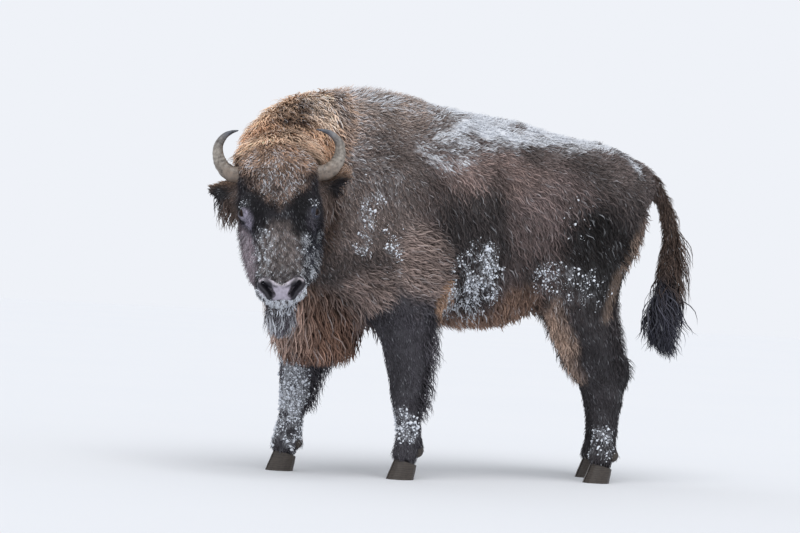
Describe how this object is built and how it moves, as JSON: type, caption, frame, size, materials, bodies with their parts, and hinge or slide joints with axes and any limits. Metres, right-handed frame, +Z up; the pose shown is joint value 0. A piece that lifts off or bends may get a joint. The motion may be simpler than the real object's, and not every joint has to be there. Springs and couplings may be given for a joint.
{
  "type": "european bison",
  "caption": "Still, life-size model of a standing European bison in winter coat, head turned to its left, one foreleg ahead and the tail swung clear.",
  "frame": {"origin": "on the ground, under the middle of the animal's outline", "axes": "+Z up, +X from the head towards the tail along the body, +Y towards the animal's right side"},
  "size_m": [2.3594, 0.8734, 1.589],
  "materials": {
    "coat": "grey-brown winter fur, frosted along the back",
    "neck_coat": "ginger-brown long curly fur",
    "mane_hair": "rusty-brown long hair",
    "face_coat": "short dark face fur, frosted",
    "leg_coat": "short black-brown fur",
    "tail_hair": "long dark tail hair",
    "horn": "grey horn, worn and ringed at the base",
    "hoof": "dark horn",
    "eye": "wet dark brown"
  },
  "bodies": {
    "root": {"trunk": "coat", "neck": "neck_coat", "chest_mane": "mane_hair", "head": "face_coat", "beard": "mane_hair", "eye_left": "eye", "eye_right": "eye", "horn_left": "horn", "horn_right": "horn", "ear_left": "face_coat", "ear_right": "face_coat", "tail": "coat", "tail_tuft": "tail_hair", "foreleg_left": "leg_coat", "foreleg_right": "leg_coat", "hindleg_left": "leg_coat", "hindleg_right": "leg_coat", "hoof_foreleg_left_inner": "hoof", "hoof_foreleg_left_outer": "hoof", "hoof_foreleg_right_inner": "hoof", "hoof_foreleg_right_outer": "hoof", "hoof_hindleg_left_inner": "hoof", "hoof_hindleg_left_outer": "hoof", "hoof_hindleg_right_inner": "hoof", "hoof_hindleg_right_outer": "hoof"}
  },
  "joints": []
}
